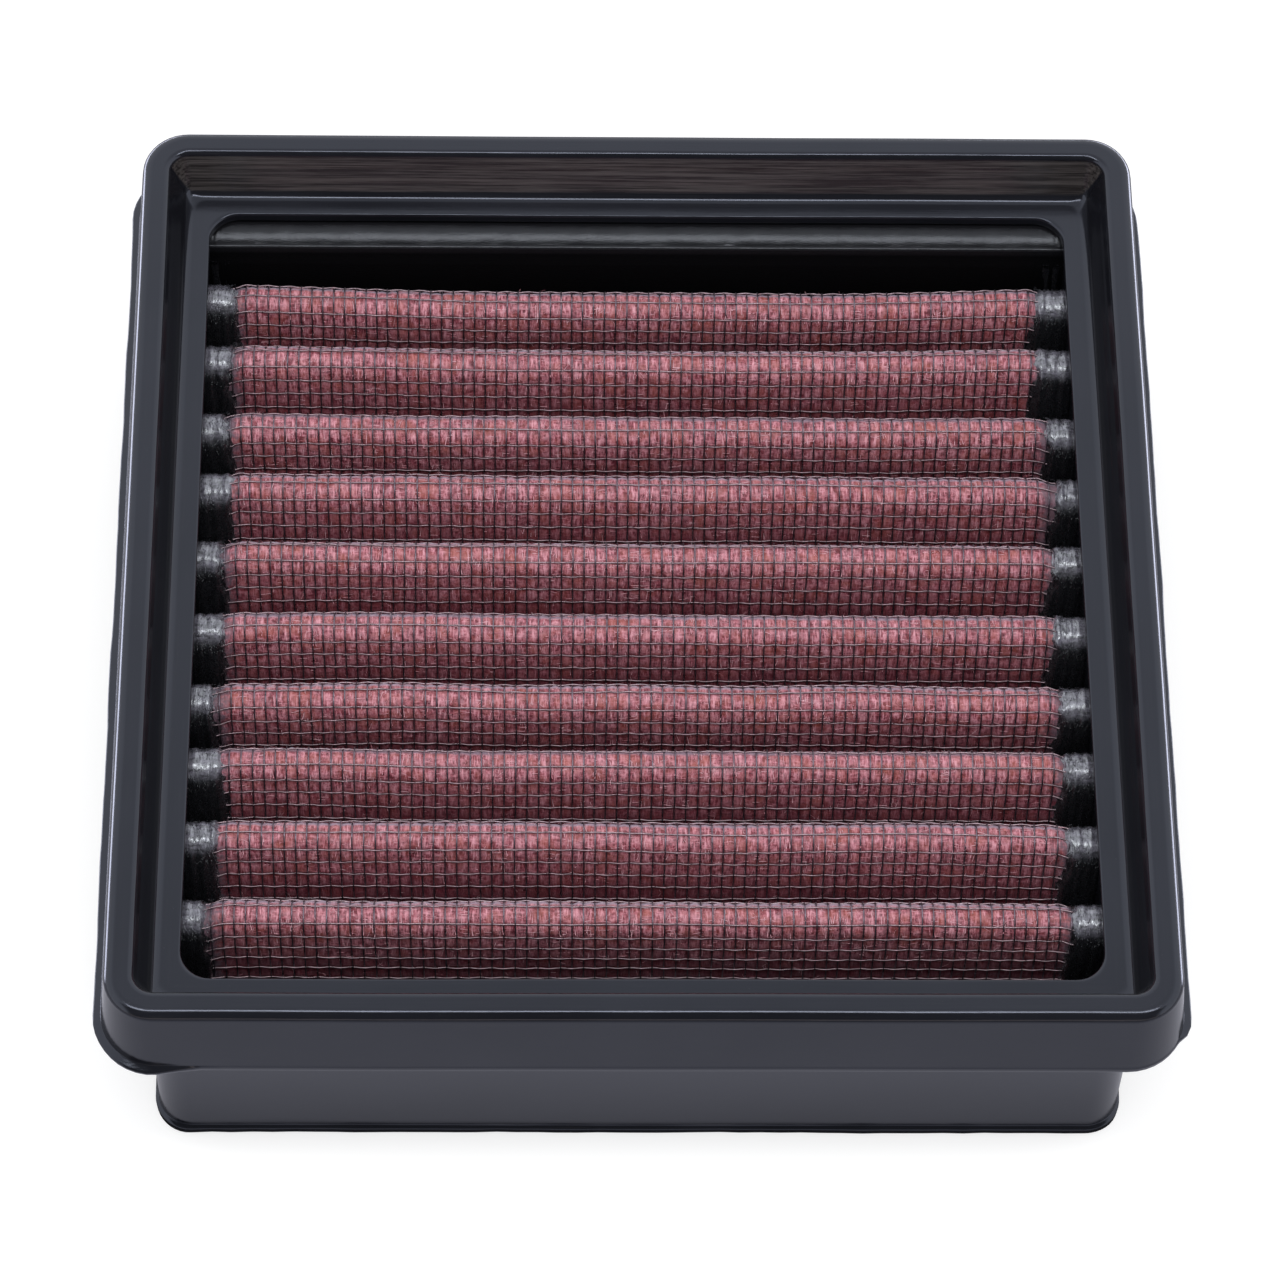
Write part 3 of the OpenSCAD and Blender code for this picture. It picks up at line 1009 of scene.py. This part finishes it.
def build_cloth_fibres(rng, lint):
    """Curly lint, straight strands along and down the pleats, and a few fibres that stand up."""
    reach = band_start - 1
    cloth = CLOTH_TOP + 0.08

    count = 4200
    roots = rng.uniform(-reach, reach, count), on_pleats(rng, count, -0.15, 0.85), cloth - 0.02
    length = rng.uniform(0.4, 1.2, count)
    lean = 90 + rng.normal(0, 40, count)
    lift = rng.uniform(0.0, 0.10, count)
    lay_fibres("cloth_lint", roots, (length, lean, lift), 0.024, lint, 32)

    count = 7000
    roots = rng.uniform(-reach, reach, count), on_pleats(rng, count, 0.0, 0.7), cloth - 0.01
    length = rng.uniform(0.5, 1.4, count)
    lean = rng.choice([0, 90], count, p=[0.45, 0.55]) + rng.normal(0, 7, count)
    lift = rng.uniform(-0.02, 0.02, count)
    lay_fibres("cloth_strands", roots, (length, lean, lift), 0.045, lint, 35, 0.06)

    count = 320
    roots = rng.uniform(-band_start, band_start, count), on_pleats(rng, count, 0.02, 0.4), cloth
    length = rng.uniform(0.3, 0.9, count)
    lean = rng.uniform(0, 360, count)
    lift = rng.uniform(0.4, 1.6, count)
    lay_fibres("standing_lint", roots, (length, lean, lift), 0.017, lint, 33)


def build_seal_fibres(rng, rubber):
    """Threads soaked in rubber that lie on the end seals."""
    count = 3000
    side = rng.choice([-1, 1], count)
    fold = on_pleats(rng, count, -0.05, 0.5)
    start = seal_border(fold, 1)
    x = side * (start + 0.3 + rng.uniform(0, 1, count) * (opening_half + 0.6 - start))
    length = rng.uniform(0.4, 1.1, count)
    lean = 90 + rng.normal(0, 16, count)
    lift = rng.uniform(0.0, 0.25, count)
    roots = x, fold, SEAL_TOP - 0.05
    lay_fibres("seal_fibres", roots, (length, lean, lift), 0.035, rubber, 34)


# ---------------------------------------------------------------- studio

# Fitted to the straight edges of the frame in the photograph; angles in degrees
CAMERA_DISTANCE = 647.1
CAMERA_ELEVATION = 59.56
CAMERA_AZIMUTH = -2.21
CAMERA_ROLL = 2.09
CAMERA_RIGHT = 0.23
CAMERA_UP = -10.71
CAMERA_LENS = 146.8
SENSOR_WIDTH = 36

FLOOR_HALF = 3000
FLOOR_GLOW = 0.60
ROOM_GLOW = 0.85
# How far up from the horizon in front the black card reaches
CARD_TOP = math.radians(76)


def look_from(elevation, azimuth, roll):
    """Rotation whose columns are the camera's right, up and back directions."""
    e, a, r = (math.radians(angle) for angle in (elevation, azimuth, roll))
    back = Vector((math.sin(a) * math.cos(e), -math.cos(a) * math.cos(e), math.sin(e)))
    right = Vector((math.cos(a), math.sin(a), 0))
    up = back.cross(right)
    turned_right = right * math.cos(r) + up * math.sin(r)
    turned_up = up * math.cos(r) - right * math.sin(r)
    return Matrix((turned_right, turned_up, back)).transposed()


def add_camera():
    data = bpy.data.cameras.new("camera")
    data.lens = CAMERA_LENS
    data.sensor_width = SENSOR_WIDTH
    camera = bpy.data.objects.new("camera", data)
    axes = look_from(CAMERA_ELEVATION, CAMERA_AZIMUTH, CAMERA_ROLL)
    level_axes = look_from(CAMERA_ELEVATION, CAMERA_AZIMUTH, 0)
    offset = level_axes @ Vector((CAMERA_RIGHT, CAMERA_UP, CAMERA_DISTANCE))
    location = (Vector((0, 0, top_z)) + offset) * MM
    camera.matrix_world = Matrix.Translation(location) @ axes.to_4x4()
    bpy.context.scene.collection.objects.link(camera)
    bpy.context.scene.camera = camera


def add_softbox(name, location, size, radiance, in_reflections=True):
    """Rectangular light that faces the filter; location and size in mm."""
    data = bpy.data.lights.new(name, "AREA")
    data.shape = "RECTANGLE"
    data.size, data.size_y = (length * MM for length in size)
    data.energy = radiance * math.pi * data.size * data.size_y
    light = bpy.data.objects.new(name, data)
    light.location = Vector(location) * MM
    light.rotation_euler = (-Vector(location)).to_track_quat("-Z", "Y").to_euler()
    light.visible_glossy = in_reflections
    bpy.context.scene.collection.objects.link(light)


def distance_from_foot(nodes, x, y):
    """Distance over the floor from the square between the centres of the skirt's round corners."""
    straight = (skirt_half - SKIRT_CORNER_R) * MM
    squares = []
    for axis in (x, y):
        past = nodes.math("SUBTRACT", nodes.math("ABSOLUTE", axis), straight)
        past = nodes.math("MAXIMUM", past, 0.0)
        squares.append(nodes.math("MULTIPLY", past, past))
    return nodes.math("SQRT", nodes.math("ADD", *squares))


def reflected_floor(nodes):
    """Colour of the floor as the filter mirrors it.

    It is nearly black under the lip and darker near the foot, a painted shadow. Further out there is a
    dark gap and then a light panel in front, and a panel at each side that only shows in edges seen from
    the front.
    """
    x, y, _ = nodes.split(nodes.geometry("Position"))
    away = distance_from_foot(nodes, x, y)
    near = nodes.remap_mm(away, SKIRT_CORNER_R + 1.0, SKIRT_CORNER_R + 1.3)
    fade = nodes.remap_mm(away, SKIRT_CORNER_R + 1.5, SKIRT_CORNER_R + 12)
    beyond = nodes.remap_mm(away, SKIRT_CORNER_R + 15, SKIRT_CORNER_R + 18)
    forward = nodes.math("MULTIPLY", y, -1.0)
    gap = nodes.product(nodes.remap_mm(forward, 130, 170), nodes.remap_mm(forward, 300, 240))
    front_panel = nodes.remap_mm(forward, 300, 400)
    seen_from_front = nodes.remap(nodes.split(nodes.geometry("Incoming"))[1], -0.28, -0.40)
    beside = nodes.remap_mm(nodes.math("ABSOLUTE", x), 150, 190)

    # Painted shadow: the floor is made darker close to the foot, and near black under the lip
    colour = nodes.mix(fade, (0.40, 0.40, 0.45), (0.74, 0.74, 0.84))
    colour = nodes.mix(beyond, colour, (0.55, 0.55, 0.62))
    colour = nodes.mix(near, (0.01, 0.01, 0.01), colour)
    colour = nodes.mix(gap, colour, (0.15, 0.15, 0.16))
    colour = nodes.mix(front_panel, colour, (1.5, 1.2, 1.0))
    return nodes.mix(nodes.product(beside, seen_from_front), colour, (9.0, 9.1, 10.5))


def add_floor():
    """White floor that glows a little, so that the filter's shadow stays faint.

    Only reflections show it in the colours of reflected_floor.
    """
    nodes = new_material("floor")
    tone = nodes.noise(nodes.geometry("Position"), 0.006, 2.0)
    white = nodes.mix(tone, (0.48, 0.48, 0.48), (0.50, 0.50, 0.50))
    glossy = nodes.add("ShaderNodeLightPath").outputs["Is Glossy Ray"]
    nodes.shade(
        Base_Color=nodes.mix(glossy, white, (0, 0, 0)),
        Roughness=0.8,
        Specular_IOR_Level=0.0,
        Emission_Color=nodes.mix(glossy, (1, 1, 1), reflected_floor(nodes)),
        Emission_Strength=nodes.remap(glossy, 0, 1, FLOOR_GLOW, 1),
    )
    half = FLOOR_HALF * MM
    corners = [(-half, -half, 0), (half, -half, 0), (half, half, 0), (-half, half, 0)]
    mesh = bpy.data.meshes.new("floor")
    mesh.from_pydata(corners, [], [(0, 1, 2, 3)])
    mesh.materials.append(nodes.owner)
    floor = bpy.data.objects.new("floor", mesh)
    bpy.context.scene.collection.objects.link(floor)


def add_world():
    """An even white room. Reflections show it dimmer overhead, and with a black card in front."""
    world = bpy.data.worlds.new("studio")
    bpy.context.scene.world = world
    nodes = Nodes(world)
    direction = nodes.add("ShaderNodeTexCoord").outputs["Generated"]
    x, y, z = nodes.split(direction)
    forward = nodes.math("MULTIPLY", y, -math.sin(CARD_TOP))
    below_edge = nodes.math("SUBTRACT", forward, nodes.math("MULTIPLY", z, math.cos(CARD_TOP)))
    card_width = nodes.remap(nodes.math("ABSOLUTE", x), 0.62, 0.74, 1, 0)
    card = nodes.product(nodes.remap(below_edge, 0.0, 0.03), card_width)
    room = nodes.remap(z, 0.78, 0.92, 1.35, 0.85)
    reflected = nodes.product(room, nodes.remap(card, 0, 1, 1, 0.06))
    glossy = nodes.add("ShaderNodeLightPath").outputs["Is Glossy Ray"]
    strength = nodes.remap(glossy, 0, 1, ROOM_GLOW, reflected)
    nodes.set("Background", Color=(0.97, 0.98, 1.0), Strength=strength)


# ---------------------------------------------------------------- build

build_frame(frame_material())
gauze = gauze_material()
# Painted light: the weft wires, which run across the pleats and catch the overhead light, are made
# lighter than the warp wires, which stay dark
shaded_warp_wire = wire_material("shaded_warp_wire", (0.16, 0.13, 0.16))
lit_weft_wire = wire_material("lit_weft_wire", (0.35, 0.265, 0.295))
seal = seal_material()
bead = bead_material()
build_gauze(gauze)
build_screen("upper_screen", UPPER_SCREEN, shaded_warp_wire, lit_weft_wire, 100)
build_screen("lower_screen", -UPPER_SCREEN, shaded_warp_wire, lit_weft_wire, 120)
build_end_seal("right_end_seal", 1, seal)
build_end_seal("left_end_seal", -1, seal)
build_edge_seal("rear_edge_seal", 1, rear_leg_top, bead)
build_edge_seal("front_edge_seal", -1, front_leg_top, bead)
fibre_rng = np.random.default_rng(31)
build_cloth_fibres(fibre_rng, lint_material())
build_seal_fibres(fibre_rng, seal)

add_floor()
add_world()
add_softbox("overhead_strip", (0, -168, 900), (900, 140), 9)
add_softbox("camera_side_fill", (0, -600, 800), (600, 600), 1.1, in_reflections=False)
add_camera()
bpy.context.scene.view_settings.view_transform = "Standard"
